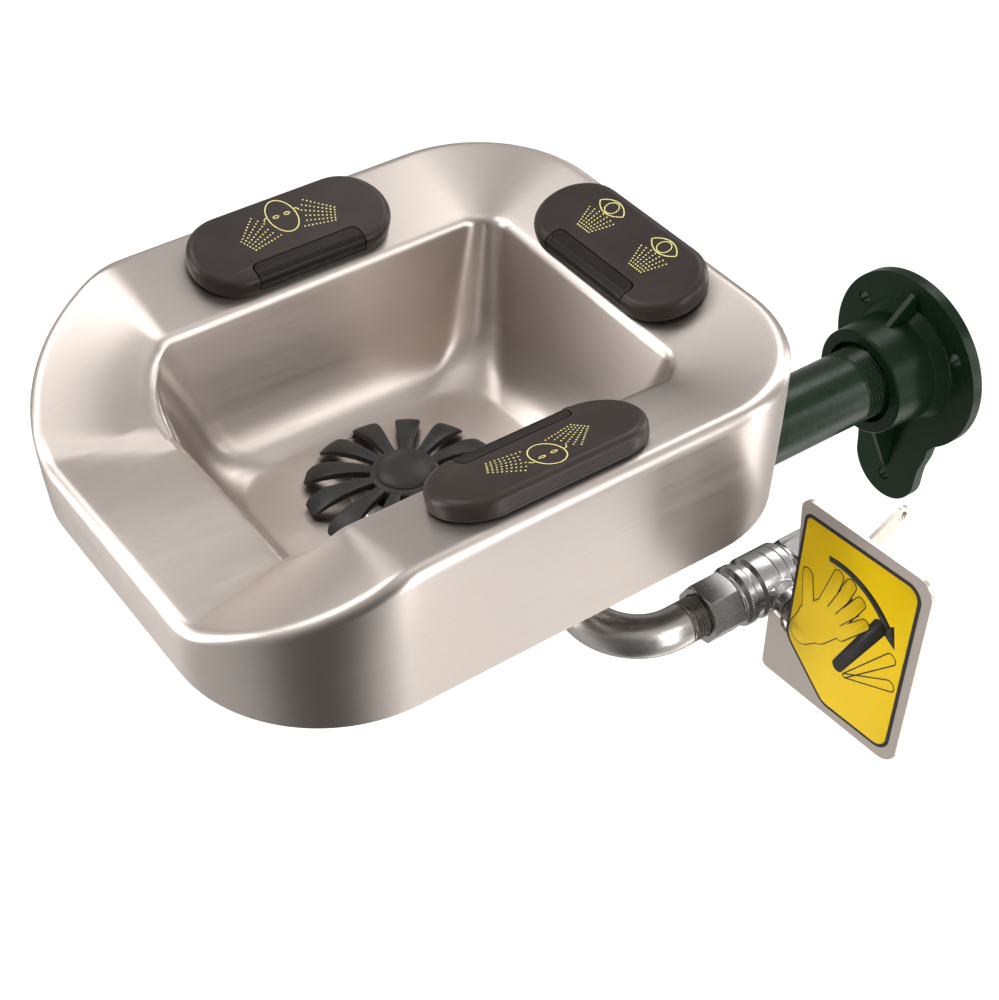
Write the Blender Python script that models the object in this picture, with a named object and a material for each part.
"""Wall-mounted eye and face wash station: stainless bowl on a painted support pipe and wall flange,
three spray pods with hinged flaps, a waste tee, and a ball valve worked by a push paddle.

Frame: origin at the centre of the wall flange's back face, on the support pipe's axis.
+X is the user's right, -Y points at the user, +Z is up. Lengths below are millimetres unless noted.
Bowl coordinates (x, y, z) have their origin at the bowl outline's centre, z = 0 at the deck's outer edge."""

import math

import bpy
import bmesh
import numpy as np
from mathutils import Matrix, Vector

MM = 0.001
GAP = 0.3

# where the bowl frame sits in the part's frame
BOWL_Y = -348.6
BOWL_Z = 164.3

# bowl
BOWL_HALF = 129.1
BOWL_BACK = 155.2
BOWL_FRONT = -147.8
BOWL_R_BACK = 65.5
BOWL_R_FRONT = 75.0
SKIRT_Z = -78.0
SHEET = 1.5
EDGE_R = 5.5
DECK_TILT = math.radians(15.9)
OPEN_HALF = 74.7
OPEN_BACK = 103.2
OPEN_FRONT = -87.6
OPEN_R_BACK = 14.0
OPEN_R_FRONT = 16.0
LIP_R = 4.0
FRONT_Z = -42.0
FRONT_TILT = math.radians(5.0)
FLOOR_Z = -91.0
WAIST_Z = -65.0
DRAIN_Y = 3.0
DRAIN_R = 20.5

# spray pods (pod frame: u outward from the basin, w along the pod, v up from the deck)
POD_L = 105.4
POD_W = 44.9
POD_X = 100.7
POD_Y = 5.4
POD_REAR_Y = 127.2
POD_TOP = 10.5
POD_BASE_TOP = 2.6
POD_EDGE_R = 4.0
FLAP_HALF = 28.5
FLAP_OUT = -12.4
FLAP_FRONT = -22.3
PIN_U = -20.6
PIN_V = 4.8
PIN_R = 1.0
BARREL_R = 1.7
STEM_R = 8.0
STEM_HOLE_R = 8.6
STEM_END = -27.0

# support pipe and wall flange
PIPE_R = 21.1
PIPE_Z = -164.3
WALL_Y = 348.6
PLATE_T = 7.0
PLATE_R = 54.0
HUB_R = 31.5
HUB_LEN = 35.0
HOLE_R = 4.0

# supply line and valve
SUP_R = 10.65
SUP_BORE = 7.9
SUP_Z = -141.0
SUP_Y = 52.6
VALVE_X = 107.4
BEND_R = 30.0
HEX_AF = 27.0
STEM_Y = 138.6
BALL_R = 11.0

# lever
ARM_X = 139.5
PADDLE_Y = 128.4


def clear_scene():
    for obj in list(bpy.data.objects):
        bpy.data.objects.remove(obj, do_unlink=True)
    for block in (bpy.data.meshes, bpy.data.materials):
        for item in list(block):
            block.remove(item)


def material(name, rgb, rough, metal):
    mat = bpy.data.materials.new(name)
    mat.use_nodes = True
    bsdf = next(n for n in mat.node_tree.nodes if n.type == "BSDF_PRINCIPLED")
    bsdf.inputs["Base Color"].default_value = (*rgb, 1.0)
    bsdf.inputs["Roughness"].default_value = rough
    bsdf.inputs["Metallic"].default_value = metal
    mat.diffuse_color = (*rgb, 1.0)
    return mat


def W(x, y, z):
    """Bowl coordinates in millimetres to the part's frame in metres."""
    return Vector((x * MM, (y + BOWL_Y) * MM, (z + BOWL_Z) * MM))


def loft(rings, torus=False, cap=True):
    """Closed loops of equal length joined in order. A torus joins the last loop to the first."""
    bm = bmesh.new()
    made = [[bm.verts.new(p) for p in ring] for ring in rings]
    n = len(made[0])
    pairs = list(zip(made, made[1:])) + ([(made[-1], made[0])] if torus else [])
    for a, b in pairs:
        for i in range(n):
            j = (i + 1) % n
            bm.faces.new((a[i], a[j], b[j], b[i]))
    if cap and not torus:
        bm.faces.new(made[0])
        bm.faces.new(made[-1])
    bmesh.ops.recalc_face_normals(bm, faces=bm.faces)
    return bm


AXES = {"x": (1, 2, 0), "y": (2, 0, 1), "z": (0, 1, 2)}


def along(axis, a, b, h):
    """A point from two in-plane coordinates and one along the axis."""
    ia, ib, ih = AXES[axis]
    p = [0.0, 0.0, 0.0]
    p[ia], p[ib], p[ih] = a, b, h
    return p


def circle(n, r, start=0.0):
    return [
        (r * math.cos(start + 2 * math.pi * k / n), r * math.sin(start + 2 * math.pi * k / n))
        for k in range(n)
    ]


def revolve(profile, axis, centre, n, ring=False):
    """A turned solid. profile is (radius, position along the axis); a ring profile is a closed loop clear of the axis."""
    bm = bmesh.new()
    loops = []
    for r, h in profile:
        if r < 1e-9:
            p = along(axis, 0, 0, h)
            loops.append([bm.verts.new([p[k] + centre[k] for k in range(3)])])
        else:
            loop = []
            for a, b in circle(n, r):
                p = along(axis, a, b, h)
                loop.append(bm.verts.new([p[k] + centre[k] for k in range(3)]))
            loops.append(loop)
    pairs = list(zip(loops, loops[1:])) + ([(loops[-1], loops[0])] if ring else [])
    for lo, hi in pairs:
        for i in range(n):
            j = (i + 1) % n
            quad = [lo[i % len(lo)], lo[j % len(lo)], hi[j % len(hi)], hi[i % len(hi)]]
            face = []
            for v in quad:
                if v not in face:
                    face.append(v)
            if len(face) > 2:
                bm.faces.new(face)
    bmesh.ops.recalc_face_normals(bm, faces=bm.faces)
    return bm


def rod(axis, centre, r, lo, hi, n=24):
    return revolve([(0, lo), (r, lo), (r, hi), (0, hi)], axis, centre, n)


def tube(axis, centre, r, bore, lo, hi, n=24):
    return revolve([(r, lo), (r, hi), (bore, hi), (bore, lo)], axis, centre, n, ring=True)


def prism(outline, axis, lo, hi, centre=(0, 0, 0)):
    rings = []
    for h in (lo, hi):
        ring = []
        for a, b in outline:
            p = along(axis, a, b, h)
            ring.append([p[k] + centre[k] for k in range(3)])
        rings.append(ring)
    return loft(rings)


def box(lo, hi):
    return prism([(lo[0], lo[1]), (hi[0], lo[1]), (hi[0], hi[1]), (lo[0], hi[1])], "z", lo[2], hi[2])


def hexagon(af, start=math.pi / 6):
    return circle(6, af / math.sqrt(3), start)


def hex_nut(axis, centre, af, bore, lo, hi, n=24):
    """A hexagon with its corners turned down at both ends and a round bore."""
    body = prism(hexagon(af), axis, lo, hi, centre)
    big = af / math.sqrt(3)
    c = (big - af / 2) * 0.9
    keep = revolve([(0, lo - 0.02), (big - c, lo - 0.02), (big + 0.05, lo + c * 0.6), (big + 0.05, hi - c * 0.6), (big - c, hi + 0.02), (0, hi + 0.02)], axis, centre, n)
    tools = [(keep, "INTERSECT")]
    if bore:
        tools.append((rod(axis, centre, bore, lo - 1, hi + 1, n), "DIFFERENCE"))
    return solid(body, tools)


def sweep(points, r, bore, n=12):
    """A tube along a path, with the cross-section carried along without twist."""
    pts = [Vector(p) for p in points]
    tangents = []
    for i in range(len(pts)):
        a, b = pts[max(i - 1, 0)], pts[min(i + 1, len(pts) - 1)]
        tangents.append((b - a).normalized())
    side = tangents[0].orthogonal().normalized()
    outer, inner = [], []
    for p, t in zip(pts, tangents):
        side = (side - t * side.dot(t)).normalized()
        up = t.cross(side)
        outer.append([p + side * a + up * b for a, b in circle(n, r)])
        inner.append([p + side * a + up * b for a, b in circle(n, bore)])
    return loft(outer + inner[::-1], torus=True)


def smooth_path(knots, count):
    """Catmull-Rom curve through the knots, evenly sampled."""
    ks = [Vector(k) for k in knots]
    ks = [ks[0] * 2 - ks[1]] + ks + [ks[-1] * 2 - ks[-2]]
    fine = []
    for i in range(1, len(ks) - 2):
        for s in range(24):
            t = s / 24
            a, b, c, d = ks[i - 1], ks[i], ks[i + 1], ks[i + 2]
            fine.append(0.5 * ((2 * b) + (c - a) * t + (2 * a - 5 * b + 4 * c - d) * t * t + (3 * b - a - 3 * c + d) * t ** 3))
    fine.append(ks[-2])
    length = [0.0]
    for a, b in zip(fine, fine[1:]):
        length.append(length[-1] + (b - a).length)
    out = []
    for k in range(count):
        want = length[-1] * k / (count - 1)
        i = min(max(int(np.searchsorted(length, want)), 1), len(fine) - 1)
        span = length[i] - length[i - 1]
        f = (want - length[i - 1]) / span if span > 0 else 0
        out.append(fine[i - 1].lerp(fine[i], f))
    return out


def mesh_of(bm, name):
    mesh = bpy.data.meshes.new(name)
    bm.to_mesh(mesh)
    bm.free()
    return mesh


def solid(base, tools, solver="EXACT"):
    """The base mesh with each tool cut, joined or intersected in turn, as one new bmesh."""
    obj = bpy.data.objects.new("work", mesh_of(base, "work"))
    bpy.context.scene.collection.objects.link(obj)
    helpers = []
    for bm, operation in tools:
        helper = bpy.data.objects.new("tool", mesh_of(bm, "tool"))
        bpy.context.scene.collection.objects.link(helper)
        helpers.append(helper)
        mod = obj.modifiers.new("bool", "BOOLEAN")
        mod.operation = operation
        mod.solver = solver
        mod.object = helper
    bpy.context.view_layer.update()
    evaluated = obj.evaluated_get(bpy.context.evaluated_depsgraph_get())
    out = bmesh.new()
    out.from_mesh(evaluated.to_mesh())
    evaluated.to_mesh_clear()
    for item in [obj] + helpers:
        mesh = item.data
        bpy.data.objects.remove(item, do_unlink=True)
        bpy.data.meshes.remove(mesh)
    bmesh.ops.remove_doubles(out, verts=out.verts, dist=2e-4)
    bmesh.ops.dissolve_degenerate(out, edges=out.edges, dist=1e-5)
    return out


def finish_mesh(bm, name, shift=(0, 0, 0), bowl_frame=True, angle=35):
    """Millimetres to metres, moved to the frame of the object that holds it."""
    move = Vector((0, BOWL_Y, BOWL_Z)) if bowl_frame else Vector((0, 0, 0))
    for v in bm.verts:
        v.co = (v.co + move) * MM - Vector(shift)
    mesh = mesh_of(bm, name)
    mesh.shade_smooth()
    mesh.set_sharp_from_angle(angle=math.radians(angle))
    return mesh


def place(name, mesh, mat, parent=None, location=(0, 0, 0)):
    obj = bpy.data.objects.new(name, mesh)
    bpy.context.scene.collection.objects.link(obj)
    if not mesh.materials:
        mesh.materials.append(mat)
    obj.parent = parent
    obj.location = location
    return obj


def fixed(name, bm, mat, angle=35):
    """A piece of the station itself, with its origin at the part's origin."""
    return place(name, finish_mesh(bm, name, angle=angle), mat)


def empty(name, matrix):
    obj = bpy.data.objects.new(name, None)
    bpy.context.scene.collection.objects.link(obj)
    obj.empty_display_size = 0.02
    obj.matrix_world = matrix
    return obj


# ------------------------------------------------------------------ bowl


def rounded_outline(half, back, front, r_back, r_front, n_side, n_back, n_rear, n_front, n_nose):
    """A rounded rectangle as (x, y) points, the same count in the same stretches whatever its size."""
    pts = []

    def straight(a, b, n):
        for k in range(n):
            pts.append((a[0] + (b[0] - a[0]) * k / n, a[1] + (b[1] - a[1]) * k / n))

    def arc(cx, cy, r, a0, a1, n):
        for k in range(n):
            a = math.radians(a0 + (a1 - a0) * k / n)
            pts.append((cx + r * math.cos(a), cy + r * math.sin(a)))

    straight((half, front + r_front), (half, back - r_back), n_side)
    arc(half - r_back, back - r_back, r_back, 0, 90, n_back)
    straight((half - r_back, back), (r_back - half, back), n_rear)
    arc(r_back - half, back - r_back, r_back, 90, 180, n_back)
    straight((-half, back - r_back), (-half, front + r_front), n_side)
    arc(r_front - half, front + r_front, r_front, 180, 270, n_front)
    straight((r_front - half, front), (half - r_front, front), n_nose)
    arc(half - r_front, front + r_front, r_front, 270, 360, n_front)
    return np.array(pts)


def inward(x, y):
    """Distance in from the bowl's outline."""
    x = abs(x)
    for sign, edge, r in ((1, BOWL_BACK, BOWL_R_BACK), (-1, BOWL_FRONT, BOWL_R_FRONT)):
        cx, cy = BOWL_HALF - r, edge - sign * r
        if x > cx and sign * (y - cy) > 0:
            return r - math.hypot(x - cx, y - cy)
    return min(BOWL_HALF - x, BOWL_BACK - y, y - BOWL_FRONT)


def drop(x, y):
    """0 on the side and rear decks, 1 on the lowered front; it grows steadily with the angle round each front corner."""
    angle = math.degrees(math.atan2(-y - 75.0, abs(x) - 45.0))
    t = min(max((angle + 4.0) / 84.0, 0.0), 1.0)
    ease = 0.16
    pace = 1 / (1 - ease)
    if t < ease:
        return pace * t * t / (2 * ease)
    if t > 1 - ease:
        return 1 - pace * (1 - t) ** 2 / (2 * ease)
    return pace * (t - ease / 2)


def deck_z(x, y, d):
    s = drop(x, y)
    side = 0.6 - math.tan(DECK_TILT) * d
    front = FRONT_Z - math.tan(FRONT_TILT) * d
    return side + (front - side) * s


def bowl_rings(counts, edge_steps=3, deck_steps=3, lip_steps=2, wall_steps=2):
    """Rings of points down the bowl's seen side, from the skirt's foot over the edge, deck and wall to the drain hole."""
    outer = rounded_outline(BOWL_HALF, BOWL_BACK, BOWL_FRONT, BOWL_R_BACK, BOWL_R_FRONT, *counts)
    opening = rounded_outline(OPEN_HALF, OPEN_BACK, OPEN_FRONT, OPEN_R_BACK, OPEN_R_FRONT, *counts)
    waist = rounded_outline(OPEN_HALF - 7, OPEN_BACK - 8, OPEN_FRONT + 6, 22, 26, *counts)
    foot = rounded_outline(OPEN_HALF - 28, OPEN_BACK - 33, OPEN_FRONT + 25, 28, 28, *counts)
    n = len(outer)
    centre = np.array([0.0, DRAIN_Y])
    around = foot - centre
    around = around / np.linalg.norm(around, axis=1)[:, None]
    disc = centre + around * 44.0
    hole = centre + around * DRAIN_R
    columns = []
    for i in range(n):
        o, a = outer[i], opening[i]
        reach = np.linalg.norm(a - o)
        e = (a - o) / reach
        out_n = -e
        path = []
        # skirt, drawn in a little at its foot
        path.append((*(o + e * 2.2), SKIRT_Z))
        # edge rounding
        inner = o + e * EDGE_R
        tilt = DECK_TILT + (FRONT_TILT - DECK_TILT) * drop(*inner)
        top = deck_z(*inner, EDGE_R)
        zc = top - EDGE_R / math.cos(tilt)
        path.append((*(o + e * 0.7), SKIRT_Z + (zc - SKIRT_Z) * 0.55))
        for k in range(edge_steps + 1):
            t = math.radians(180) - (math.radians(90) + tilt) * k / edge_steps
            q = o + e * (EDGE_R + EDGE_R * math.cos(t))
            path.append((*q, zc + EDGE_R * math.sin(t)))
        # deck
        start = EDGE_R + EDGE_R * math.sin(tilt)
        stop = reach - LIP_R
        for k in range(1, deck_steps + 1):
            d = start + (stop - start) * k / deck_steps
            q = o + e * d
            path.append((*q, deck_z(*q, inward(*q))))
        # lip
        zl = path[-1][2]
        for k in range(1, lip_steps + 1):
            t = math.radians(82) * k / lip_steps
            q = o + e * (stop + LIP_R * math.sin(t))
            path.append((*q, zl - math.tan(tilt) * LIP_R * math.sin(t) - LIP_R * (1 - math.cos(t))))
        # wall, tapering to a soft foot
        q0 = o + e * (stop + LIP_R * math.sin(math.radians(82)))
        z0 = path[-1][2]
        w, f = waist[i], foot[i]
        for k in range(1, wall_steps + 1):
            t = k / wall_steps
            q = q0 * (1 - t) + w * t
            path.append((*q, z0 + (WAIST_Z - z0) * t))
        # floor
        knots = [(w, WAIST_Z), (w * 0.84 + f * 0.16, -75.5), (w * 0.60 + f * 0.40, -83.2), (w * 0.28 + f * 0.72, -87.9), (f, -89.6), (disc[i], -90.3), (hole[i], FLOOR_Z)]
        for q, z in knots[1:]:
            path.append((*q, z))
        columns.append(path)
    rings = np.array(columns).transpose(1, 0, 2)
    return rings


def surface_normals(rings):
    """Upward and outward unit normals of the seen side."""
    du = np.roll(rings, -1, axis=1) - np.roll(rings, 1, axis=1)
    dv = np.empty_like(rings)
    dv[1:-1] = rings[2:] - rings[:-2]
    dv[0] = rings[1] - rings[0]
    dv[-1] = rings[-1] - rings[-2]
    n = np.cross(du, dv)
    return n / np.linalg.norm(n, axis=2)[:, :, None]


def bowl():
    rings = bowl_rings((4, 5, 2, 10, 2))
    normals = surface_normals(rings)
    under = rings - normals * SHEET
    # the skirt's foot and the drain hole stay square-cut
    under[0, :, 2] = rings[0, :, 2]
    loops = [list(map(tuple, ring)) for ring in rings] + [list(map(tuple, ring)) for ring in under[::-1]]
    bm = loft(loops, torus=True)
    cutters = []
    for matrix in POD_FRAMES.values():
        hole = rod("z", (0, 0, 0), STEM_HOLE_R, -8, 8, 20)
        bmesh.ops.transform(hole, matrix=matrix, verts=hole.verts)
        cutters.append((hole, "DIFFERENCE"))
    return solid(bm, cutters)


# ------------------------------------------------------------------ pods


def pod_frame(angle, x, y, d):
    """Pod frame in bowl coordinates: local X outward, Y along the pod, Z up off the deck."""
    z = 0.6 - math.tan(DECK_TILT) * d
    return Matrix.Translation((x, y, z)) @ Matrix.Rotation(angle, 4, "Z") @ Matrix.Rotation(-DECK_TILT, 4, "Y")


POD_FRAMES = {
    "right": pod_frame(0.0, POD_X, POD_Y, BOWL_HALF - POD_X),
    "rear": pod_frame(math.pi / 2, 0.0, POD_REAR_Y, BOWL_BACK - POD_REAR_Y),
    "left": pod_frame(math.pi, -POD_X, POD_Y, BOWL_HALF - POD_X),
}


def stadium(length, width, n=8):
    """Outline with round ends: (u, w) with the length along w."""
    r, h = width / 2, (length - width) / 2
    pts = []
    for k in range(n + 1):
        a = math.pi * k / n
        pts.append((r * math.cos(a), h + r * math.sin(a)))
    for k in range(n + 1):
        a = math.pi + math.pi * k / n
        pts.append((r * math.cos(a), -h + r * math.sin(a)))
    return pts


def level(outline, z):
    return [(a, b, z) for a, b in outline]


def notch_outline(half, out, far, chamfer):
    return [(far, -half), (out - chamfer, -half), (out - chamfer * 0.3, -half + chamfer * 0.3), (out, -half + chamfer), (out, half - chamfer), (out - chamfer * 0.3, half - chamfer * 0.3), (out - chamfer, half), (far, half)]


def pod_cover():
    r = POD_EDGE_R
    rings = [level(stadium(POD_L, POD_W), POD_BASE_TOP + GAP)]
    for k in range(4):
        t = math.pi / 2 * k / 3
        inset = r * (1 - math.cos(t))
        rings.append(level(stadium(POD_L - 2 * inset, POD_W - 2 * inset), POD_TOP - r + r * math.sin(t)))
    cavity = loft([level(stadium(POD_L - 4.8, POD_W - 4.8), 0), level(stadium(POD_L - 4.8, POD_W - 4.8), 7.2), level(stadium(POD_L - 7.6, POD_W - 7.6), 8.6)])
    notch = prism(notch_outline(FLAP_HALF + 0.6, FLAP_OUT + 0.6, -30, 3.2), "z", 0, 14)
    tools = [(cavity, "DIFFERENCE")]
    for s in (-1, 1):
        a, b = sorted((s * (FLAP_HALF + 0.2), s * (FLAP_HALF + 4.0)))
        tools.append((box((-21.9, a, 3.2), (-16.2, b, 9.4)), "UNION"))
    tools.append((notch, "DIFFERENCE"))
    tools.append((rod("y", (PIN_U, 0, PIN_V), PIN_R + GAP, -31.8, 31.8, 16), "DIFFERENCE"))
    return solid(loft(rings), tools)


def pod_base():
    rings = [level(stadium(POD_L - 1.0, POD_W - 1.0), 1.3), level(stadium(POD_L - 0.6, POD_W - 0.6), 1.6), level(stadium(POD_L - 0.6, POD_W - 0.6), POD_BASE_TOP)]
    plate = loft(rings)
    stem = rod("z", (0, 0, 0), STEM_R, STEM_END, 2.0, 20)
    chamber = box((-11.0, -24, 2.0), (9.0, 24, 8.2))
    hollow = box((-14.0, -22, 4.2), (7.0, 22, 6.9))
    bore = rod("z", (0, 0, 0), 4.8, STEM_END - 1, 5.0, 16)
    return solid(plate, [(stem, "UNION"), (chamber, "UNION"), (hollow, "DIFFERENCE"), (bore, "DIFFERENCE")])


def pod_nozzle():
    plate = box((-12.9, -24, 3.2), (-11.3, 24, 8.2))
    cuts = []
    for k in range(7):
        w = -18 + 6 * k
        cuts.append((box((-14, w - 1.8, 4.9), (-10, w + 1.8, 6.3)), "DIFFERENCE"))
    return solid(plate, cuts)


def pod_flap():
    """The flap in the pod frame: a bent plate along w with a hinge barrel at its front foot."""
    outer = [(FLAP_FRONT, PIN_V), (FLAP_FRONT, 6.6)]
    for k in range(1, 5):
        t = math.pi / 2 * k / 4
        outer.append((FLAP_FRONT + 4.1 - 4.1 * math.cos(t), 6.6 + 3.9 * math.sin(t)))
    outer += [(FLAP_OUT, POD_TOP), (FLAP_OUT, POD_TOP - 1.7)]
    inner = [(-18.0, POD_TOP - 1.7), (-19.6, POD_TOP - 2.2), (-20.5, 7.2)]
    barrel = []
    for k in range(8):
        t = math.radians(62 - 240 * k / 7)
        barrel.append((PIN_U + BARREL_R * math.cos(t), PIN_V + BARREL_R * math.sin(t)))
    shape = outer + inner + barrel
    # (u, v) outline extruded along w
    rings = [[(u, w, v) for u, v in shape] for w in (-FLAP_HALF, FLAP_HALF)]
    body = loft(rings)
    keep = prism(notch_outline(FLAP_HALF - 0.02, FLAP_OUT + 0.02, -30, 3.2), "z", 0, 14)
    bore = rod("y", (PIN_U, 0, PIN_V), PIN_R + 0.06, -40, 40, 12)
    return solid(body, [(keep, "INTERSECT"), (bore, "DIFFERENCE")])


def make_pods(mats):
    shapes = {
        "cover": (pod_cover(), mats["black"], 35),
        "base": (pod_base(), mats["black_base"], 35),
        "nozzle": (pod_nozzle(), mats["grey_plastic"], 35),
        "hinge_pin": (rod("y", (0, 0, 0), PIN_R, -31.3, 31.3, 12), mats["steel"], 35),
        "flap": (pod_flap(), mats["black_flap"], 35),
        "deck_gasket": (tube("z", (0, 0, 0), 17.5, STEM_HOLE_R, GAP, 1.0, 24), mats["rubber"], 35),
        "locknut": (hex_nut("z", (0, 0, 0), 26.0, STEM_R + GAP, -8.4, -2.2, 14), mats["nut_plastic"], 35),
        "feed_coupling": (revolve([(11, -38.5), (11, -24.0), (STEM_R + GAP, -24.0), (STEM_R + GAP, -29.0), (5.5, -29.0), (5.5, -38.5)], "z", (0, 0, 0), 20, ring=True), mats["nut_plastic"], 35),
    }
    meshes = {}
    for key, (bm, mat, angle) in shapes.items():
        shift = (PIN_U * MM, 0, PIN_V * MM) if key == "flap" else (0, 0, 0)
        meshes[key] = finish_mesh(bm, "pod_" + key, shift, bowl_frame=False, angle=angle)
        meshes[key].materials.append(mat)
    offset = Matrix.Translation((0, BOWL_Y * MM, BOWL_Z * MM))
    for side, frame in POD_FRAMES.items():
        here = frame.copy()
        here.translation = frame.translation * MM
        seat = empty("pod_seat_" + side, offset @ here)
        pin = (PIN_U * MM, 0, PIN_V * MM)
        for key, mesh in meshes.items():
            at = pin if key in ("flap", "hinge_pin") else (0, 0, 0)
            name = {"cover": "pod_cover", "base": "pod_base", "nozzle": "spray_nozzle", "flap": "spray_flap", "hinge_pin": "flap_pin", "deck_gasket": "deck_gasket", "locknut": "pod_locknut", "feed_coupling": "feed_coupling"}[key]
            place(name + "_" + side, mesh, None, seat, at)


# ------------------------------------------------------------------ drain, pipe and wall flange


def strainer():
    """Round dished strainer: a collar with thirteen petals that curve down to the floor."""
    petals = 13
    collar = revolve([(4.0, -81.5), (4.0, -78.6), (15.5, -78.2), (16.8, -79.6), (16.8, -82.0), (12.0, -84.0), (4.0, -84.0)], "z", (0, DRAIN_Y, 0), 26, ring=True)
    tools = []
    for k in range(petals):
        a = 2 * math.pi * k / petals + 0.12
        rings = []
        for r, half, zt, zb in ((13.0, 2.3, -78.9, -82.4), (26.0, 3.6, -78.6, -82.1), (38.0, 5.5, -80.7, -83.9), (45.6, 6.1, -84.9, -87.0), (48.0, 4.6, -87.2, -88.2)):
            ring = []
            for s, z in ((-1.0, zb), (-0.8, zt - 0.3), (0.0, zt), (0.8, zt - 0.3), (1.0, zb)):
                ring.append((r * math.cos(a) - s * half * math.sin(a), DRAIN_Y + r * math.sin(a) + s * half * math.cos(a), z))
            rings.append(ring)
        tools.append((loft(rings), "UNION"))
    return solid(collar, tools)


def flange_outline():
    pts = []
    for k in range(25):
        a = math.radians(-52 + 284 * k / 24)
        pts.append((PLATE_R * math.cos(a), PLATE_R * math.sin(a)))
    left = [(-29.4, -48.5), (-28.2, -56.0), (-25.0, -66.0), (-24.2, -72.0)]
    pts += left
    for k in range(11):
        a = math.radians(190 + 160 * k / 10)
        pts.append((24.0 * math.cos(a), -77.0 + 24.0 * math.sin(a)))
    pts += [(-x, z) for x, z in left[::-1]]
    return pts


def wall_flange():
    c = (0, 0, PIPE_Z)
    # prism along Y maps (a, b) to (z, x)
    outline = [(z, x) for x, z in flange_outline()]
    plate = prism(outline, "y", WALL_Y - PLATE_T, WALL_Y, c)
    front = WALL_Y - PLATE_T
    hub = revolve([(0, front + 2), (HUB_R + 6, front + 2), (HUB_R + 6, front - 0.5), (HUB_R + 1.0, front - 7), (HUB_R, front - HUB_LEN + 1), (HUB_R - 1, front - HUB_LEN), (0, front - HUB_LEN)], "y", c, 28)
    tools = [(hub, "UNION")]
    for s, reach in ((1, 47.0), (-1, 78.0)):
        rib = prism([(front + 1, s * 20.0), (front + 1, s * reach), (front - 1.5, s * reach), (front - HUB_LEN + 12, s * (HUB_R - 3)), (front - HUB_LEN + 12, s * 20.0)], "x", -1.8, 1.8, c)
        tools.append((rib, "UNION"))
    tools.append((rod("y", c, PIPE_R + GAP + 0.1, front - HUB_LEN - 2, front - 3.0, 26), "DIFFERENCE"))
    tools.append((rod("y", c, 24.4, front - HUB_LEN - 2, front - HUB_LEN + 8, 24), "DIFFERENCE"))
    for x, z in ((36.3, 22.5), (-36.3, 22.5), (0, -86.0)):
        tools.append((rod("y", (x, 0, PIPE_Z + z), HOLE_R, front - 4, WALL_Y + 2, 12), "DIFFERENCE"))
    return solid(plate, tools)


def drain_tee():
    """Cast tee under the bowl: seat for the drain, socket for the support pipe, waste outlet below."""
    body = revolve([(0, -96.4), (38.0, -96.4), (38.0, -100.6), (28.0, -107.0), (25.0, -116.0), (25.0, -188.0), (28.0, -190.0), (28.0, -206.0), (0, -206.0)], "z", (0, DRAIN_Y, 0), 26)
    boss = revolve([(0, 7.3), (27.5, 7.3), (27.5, 38.0), (29.0, 40.0), (29.0, 57.0), (0, 57.0)], "y", (0, 0, PIPE_Z), 24)
    socket = rod("y", (0, 0, PIPE_Z), PIPE_R + GAP + 0.1, 30.0, 60.0, 28)
    bore = rod("z", (0, DRAIN_Y, 0), 20.0, -210, -90, 22)
    return solid(body, [(boss, "UNION"), (socket, "DIFFERENCE"), (bore, "DIFFERENCE")])


def drain_flange():
    """Flanged drain sleeve in the bowl's hole, with a bar across it that takes the strainer's screw."""
    sleeve = revolve([(27.0, -90.1), (26.0, -89.0), (17.0, -89.4), (17.0, -118.0), (19.5, -118.0), (19.5, -90.2)], "z", (0, DRAIN_Y, 0), 24, ring=True)
    bar = box((-18.2, DRAIN_Y - 4, -106.0), (18.2, DRAIN_Y + 4, -101.0))
    hole = rod("z", (0, DRAIN_Y, 0), 3.3, -110, -95, 14)
    return solid(sleeve, [(bar, "UNION"), (hole, "DIFFERENCE")])


# ------------------------------------------------------------------ supply, valve and lever


def supply_points():
    pts = [(55.5, SUP_Y, SUP_Z), (66.0, SUP_Y, SUP_Z)]
    cx, cy = VALVE_X - BEND_R, SUP_Y + BEND_R
    for k in range(10):
        a = -math.pi / 2 + math.pi / 2 * k / 9
        pts.append((cx + BEND_R * math.cos(a), cy + BEND_R * math.sin(a), SUP_Z))
    pts.append((VALVE_X, 108.6, SUP_Z))
    return pts


def valve_end():
    """Hexagonal end piece that screws into the valve's body and holds the front seat."""
    c = (VALVE_X, 0, SUP_Z)
    body = hex_nut("y", c, HEX_AF, 0, 97.6, 115.3, 18)
    spigot = rod("y", c, 12.2, 114.0, 120.4, 20)
    return solid(body, [(spigot, "UNION"), (rod("y", c, 11.05, 95, 109.4, 20), "DIFFERENCE"), (rod("y", c, 7.0, 105, 125, 14), "DIFFERENCE")])


def valve_body():
    c = (VALVE_X, 0, SUP_Z)
    barrel = revolve([(0, 115.6), (15.0, 115.6), (15.4, 116.2), (15.4, 121.0), (14.6, 122.0), (14.6, 128.0), (15.4, 129.0), (15.4, 147.0), (14.0, 149.5), (14.0, 153.5), (0, 153.5)], "y", c, 24)
    far = hex_nut("y", c, HEX_AF, 0, 152.6, 169.0, 18)
    neck = rod("x", (0, STEM_Y, SUP_Z), 7.6, VALVE_X + 6, 129.0, 16)
    tools = [(far, "UNION"), (neck, "UNION")]
    tools.append((rod("y", c, 12.7, 110, 151.4, 20), "DIFFERENCE"))
    tools.append((rod("y", c, 7.0, 145, 175, 14), "DIFFERENCE"))
    tools.append((rod("y", c, 11.05, 156.0, 175, 20), "DIFFERENCE"))
    tools.append((rod("x", (0, STEM_Y, SUP_Z), 4.4, VALVE_X + 5, 140, 14), "DIFFERENCE"))
    return solid(barrel, tools)


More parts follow.
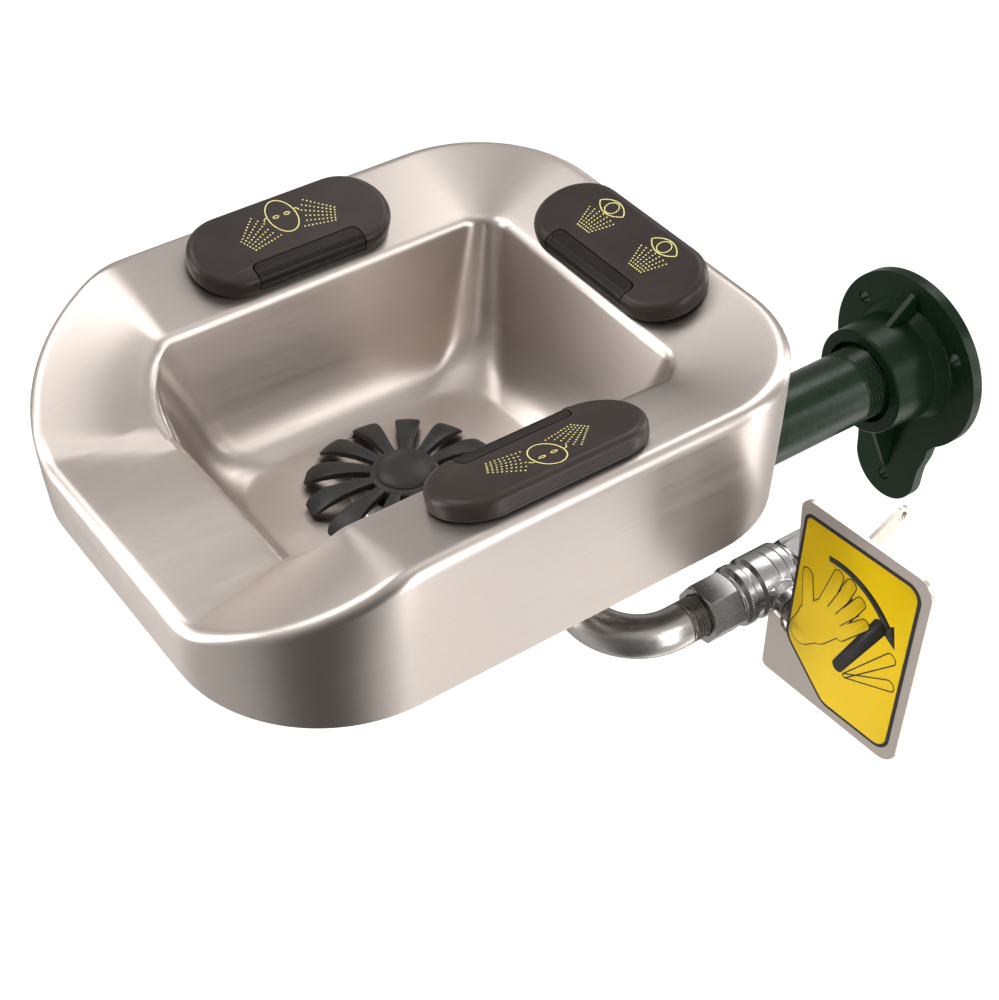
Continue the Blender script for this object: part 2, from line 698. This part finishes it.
def valve_seat(face, back):
    """Ring seat: a cupped face against the ball, a flat back."""
    c = (VALVE_X, 0, SUP_Z)
    ring = tube("y", c, 12.1, 7.0, min(face, back), max(face, back), 20)
    ball = bmesh.new()
    bmesh.ops.create_uvsphere(ball, u_segments=16, v_segments=12, radius=BALL_R + 0.6)
    bmesh.ops.translate(ball, verts=ball.verts, vec=(VALVE_X, STEM_Y, SUP_Z))
    return solid(ring, [(ball, "DIFFERENCE")])


def valve_ball():
    ball = bmesh.new()
    bmesh.ops.create_uvsphere(ball, u_segments=16, v_segments=10, radius=BALL_R)
    bmesh.ops.rotate(ball, verts=ball.verts, matrix=Matrix.Rotation(math.pi / 2, 3, "Y"))
    bmesh.ops.translate(ball, verts=ball.verts, vec=(VALVE_X, STEM_Y, SUP_Z))
    # shut at rest: the port lies across the flow, and turns into line with it
    port = rod("z", (VALVE_X, STEM_Y, 0), 6.6, SUP_Z - 14, SUP_Z + 14, 14)
    slot = box((VALVE_X + 8.6, STEM_Y - 1.8, SUP_Z - 12), (VALVE_X + 14, STEM_Y + 1.8, SUP_Z + 12))
    return solid(ball, [(port, "DIFFERENCE"), (slot, "DIFFERENCE")])


def valve_stem():
    c = (0, STEM_Y, SUP_Z)
    shaft = revolve([(0, 118.8), (4.0, 118.8), (4.0, 137.0), (3.4, 137.4), (3.4, 148.2), (2.9, 148.8), (0, 148.8)], "x", c, 14)
    tang = box((VALVE_X + 9.0, STEM_Y - 1.4, SUP_Z - 3.2), (119.6, STEM_Y + 1.4, SUP_Z + 3.2))
    return solid(shaft, [(tang, "UNION")])


def lever_plate():
    """Bent sheet: paddle facing the user, and an arm at right angles that sits on the valve's stem."""
    corners = [(134.6, -60.0, 7.0), (216.6, -53.0, 9.0), (213.6, -171.0, 12.0), (123.7, -178.5, 3.0), (123.7, -139.5, 3.0), (131.5, -141.0, 1.0), (133.0, -146.0, 3.0), (138.2, -146.0, 2.5), (139.3, -128.0, 2.0)]
    paddle = rounded_polygon(corners, 5)
    # prism along Y maps (a, b) to (z, x)
    plate = prism([(z, x) for x, z in paddle], "y", PADDLE_Y, PADDLE_Y + 2.0)
    hub, tail = (STEM_Y, SUP_Z), (191.4, -100.5)
    arm = []
    arm += [(PADDLE_Y, SUP_Z - 5.0), (STEM_Y - 3.0, SUP_Z - 9.5)]
    for k in range(7):
        a = math.radians(-95 + 120 * k / 6)
        arm.append((hub[0] + 9.8 * math.cos(a), hub[1] + 9.8 * math.sin(a)))
    slope = math.radians(29.3)
    nx, nz = -math.sin(slope), math.cos(slope)
    half = 5.0
    reach = math.hypot(tail[0] - hub[0], tail[1] - hub[1])
    arm.append((hub[0] + 17.0 - nx * half, tail[1] - (tail[0] - hub[0] - 17.0) * math.tan(slope) - nz * half))
    for k in range(9):
        a = slope - math.pi / 2 + math.pi * k / 8
        arm.append((tail[0] + half * math.cos(a), tail[1] + half * math.sin(a)))
    arm.append((PADDLE_Y + 9.0, tail[1] - (tail[0] - PADDLE_Y - 9.0) * math.tan(slope) + half / math.cos(slope)))
    arm.append((PADDLE_Y, SUP_Z + 14.0))
    bar = prism(arm, "x", ARM_X - 0.2, ARM_X + 2.0)
    hole = rod("x", (0, STEM_Y, SUP_Z), 3.4 + GAP, 130, 150, 20)
    tail_hole = rod("x", (0, tail[0], tail[1]), 2.6, 130, 150, 16)
    fold = box((ARM_X - 2.5, PADDLE_Y, SUP_Z - 4.5), (ARM_X + 2.0, PADDLE_Y + 2.0, SUP_Z + 13.5))
    return solid(plate, [(fold, "UNION"), (bar, "UNION"), (hole, "DIFFERENCE"), (tail_hole, "DIFFERENCE")])


def rounded_polygon(corners, steps):
    """Polygon with each corner (x, y, r) rounded to its radius."""
    out = []
    n = len(corners)
    for i, (x, y, r) in enumerate(corners):
        p = Vector((x, y))
        a = (Vector(corners[i - 1][:2]) - p).normalized()
        b = (Vector(corners[(i + 1) % n][:2]) - p).normalized()
        half = a.angle(b) / 2
        back = r / math.tan(half)
        centre = p + (a + b).normalized() * (r / math.sin(half))
        start, end = p + a * back - centre, p + b * back - centre
        turn = start.angle_signed(end)
        for k in range(steps + 1):
            t = -turn * k / steps
            out.append(tuple(centre + Vector((start.x * math.cos(t) - start.y * math.sin(t), start.x * math.sin(t) + start.y * math.cos(t)))))
    return out


def lever_sign():
    corners = [(138.6, -66.0, 5.0), (211.6, -58.8, 8.0), (209.0, -165.4, 10.0), (166.0, -169.5, 10.0), (136.6, -146.0, 12.0)]
    outline = rounded_polygon(corners, 5)
    return prism([(z, x) for x, z in outline], "y", PADDLE_Y - 0.7, PADDLE_Y - GAP)


def manifold():
    c = (0, SUP_Y, SUP_Z)
    body = revolve([(0, 31.0), (14.0, 31.0), (15.0, 32.0), (15.0, 54.0), (16.0, 55.0), (16.0, 63.5), (15.4, 64.0), (0, 64.0)], "x", c, 22)
    tools = [(rod("z", (38.0, SUP_Y, SUP_Z), 8.0, 5.0, 23.0, 14), "UNION"), (rod("z", (55.0, SUP_Y, SUP_Z), 8.0, 5.0, 23.0, 14), "UNION"), (rod("y", (46.0, SUP_Y, SUP_Z), 8.0, 5.0, 23.0, 14), "UNION")]
    tools += [(rod("x", c, 11.05, 45.0, 70.0, 18), "DIFFERENCE"), (rod("x", c, 8.0, 34.0, 50.0, 14), "DIFFERENCE")]
    tools += [(rod("z", (x, SUP_Y, SUP_Z), 5.3, 2.0, 26.0, 10), "DIFFERENCE") for x in (38.0, 55.0)]
    tools += [(rod("y", (46.0, SUP_Y, SUP_Z), 5.3, 2.0, 26.0, 10), "DIFFERENCE")]
    return solid(body, tools, "MANIFOLD")


def pod_point(side, v):
    p = POD_FRAMES[side] @ Vector((0, 0, v))
    return p


def feed_tube(side):
    """Water tube from the manifold up to a pod's coupling."""
    top, mid, lower = pod_point(side, -30.5), pod_point(side, -40.0), pod_point(side, -53.0)
    if side == "right":
        route = [(55.0, SUP_Y, SUP_Z + 15.0), (55.0, SUP_Y, SUP_Z + 20.0), (55.0, SUP_Y, SUP_Z + 25.0), (55.6, SUP_Y - 0.6, SUP_Z + 30.0), (62.0, 44.0, -101.0), (86.0, 24.0, -92.0), (108.0, 9.0, -74.0), lower, mid, top]
    elif side == "rear":
        route = [(46.0, SUP_Y + 15.0, SUP_Z), (46.0, SUP_Y + 20.0, SUP_Z), (46.0, SUP_Y + 25.0, SUP_Z), (45.6, SUP_Y + 31.0, SUP_Z + 0.8), (40.0, 96.0, -132.0), (22.0, 122.0, -112.0), (5.0, 138.0, -82.0), lower, mid, top]
    else:
        route = [(38.0, SUP_Y, SUP_Z + 15.0), (38.0, SUP_Y, SUP_Z + 19.5), (38.0, SUP_Y, SUP_Z + 24.0), (36.6, SUP_Y, SUP_Z + 29.0), (26.0, SUP_Y + 1.0, -104.5), (-10.0, SUP_Y + 2.0, -102.0), (-58.0, 42.0, -100.0), (-92.0, 20.0, -91.0), (-110.0, 8.0, -73.0), lower, mid, top]
    return sweep(smooth_path(route, 20), 4.75, 3.2, 7)


def main():
    clear_scene()
    m = {
        "bowl": material("brushed_stainless", (0.62, 0.59, 0.56), 0.32, 1.0),
        "steel": material("stainless_pin", (0.60, 0.60, 0.60), 0.30, 1.0),
        "black": material("black_cover_plastic", (0.050, 0.045, 0.043), 0.42, 0.0),
        "black_base": material("black_base_plastic", (0.040, 0.037, 0.035), 0.50, 0.0),
        "black_flap": material("black_flap_plastic", (0.055, 0.050, 0.047), 0.38, 0.0),
        "grey_plastic": material("nozzle_plastic", (0.10, 0.10, 0.10), 0.45, 0.0),
        "rubber": material("seal_rubber", (0.03, 0.03, 0.03), 0.75, 0.0),
        "nut_plastic": material("nut_plastic", (0.75, 0.75, 0.73), 0.5, 0.0),
        "strainer": material("strainer_plastic", (0.035, 0.035, 0.036), 0.45, 0.0),
        "green": material("green_powder_coat", (0.018, 0.055, 0.032), 0.38, 0.0),
        "green_pipe": material("green_pipe_coat", (0.020, 0.062, 0.036), 0.34, 0.0),
        "chrome": material("chrome_brass", (0.70, 0.70, 0.71), 0.16, 1.0),
        "supply": material("supply_stainless", (0.56, 0.53, 0.50), 0.26, 1.0),
        "ptfe": material("seat_ptfe", (0.85, 0.85, 0.83), 0.5, 0.0),
        "lever": material("lever_stainless", (0.58, 0.56, 0.53), 0.33, 1.0),
        "sign": material("yellow_sign", (0.84, 0.58, 0.02), 0.45, 0.0),
        "brass": material("valve_brass", (0.60, 0.45, 0.20), 0.3, 1.0),
        "tube": material("feed_tube_plastic", (0.55, 0.56, 0.57), 0.45, 0.0),
    }
    fixed("bowl_shell", bowl(), m["bowl"], 30)
    make_pods(m)

    fixed("drain_strainer", strainer(), m["strainer"], 40)
    cap = revolve([(0, -74.8), (4.0, -74.9), (8.5, -75.5), (12.0, -76.7), (13.6, -77.9), (13.4, -77.9 - 0.01), (3.6, -77.9 - 0.02), (3.0, -78.6), (3.0, -108.5), (0, -108.5)], "z", (0, DRAIN_Y, 0), 22)
    fixed("strainer_screw", cap, m["strainer"], 40)
    fixed("drain_flange", drain_flange(), m["bowl"])
    fixed("drain_gasket", tube("z", (0, DRAIN_Y, 0), 35.0, 20.6, -95.9, -93.1, 28), m["rubber"])
    fixed("drain_tee", drain_tee(), m["green"])
    fixed("support_pipe", tube("y", (0, 0, PIPE_Z), PIPE_R, 17.5, 31.0, WALL_Y - PLATE_T - 3.4, 28), m["green_pipe"])
    fixed("wall_flange", wall_flange(), m["green"])

    fixed("supply_pipe", sweep(supply_points(), SUP_R, SUP_BORE, 16), m["supply"])
    fixed("supply_manifold", manifold(), m["chrome"])
    fixed("flow_control", tube("x", (0, SUP_Y, SUP_Z), 10.6, 3.0, 45.4, 52.0, 20), m["nut_plastic"])
    for side in ("right", "rear", "left"):
        fixed("feed_tube_" + side, feed_tube(side), m["tube"], 60)

    fixed("valve_end", valve_end(), m["chrome"])
    fixed("valve_body", valve_body(), m["chrome"])
    fixed("valve_seat_front", valve_seat(127.5, 120.8), m["ptfe"])
    fixed("valve_seat_rear", valve_seat(149.7 - 5.6, 151.0), m["ptfe"])
    fixed("gland_nut", hex_nut("x", (0, STEM_Y, SUP_Z), 13.2, 4.3, 129.4, 136.4, 14), m["chrome"])
    fixed("inlet_nipple", tube("y", (VALVE_X, 0, SUP_Z), SUP_R, SUP_BORE, 157.0, 188.0, 24), m["supply"])

    pivot = empty("lever_pivot", Matrix.Translation(W(ARM_X, STEM_Y, SUP_Z)))
    at = pivot.matrix_world.translation
    for name, bm, mat in (
        ("lever_plate", lever_plate(), m["lever"]),
        ("lever_sign", lever_sign(), m["sign"]),
        ("lever_nut", hex_nut("x", (0, STEM_Y, SUP_Z), 11.0, 3.4 + GAP, 141.9, 146.6, 14), m["chrome"]),
        ("valve_stem", valve_stem(), m["brass"]),
        ("valve_ball", valve_ball(), m["chrome"]),
    ):
        place(name, finish_mesh(bm, name, at), mat, pivot)
    bpy.context.view_layer.update()


main()
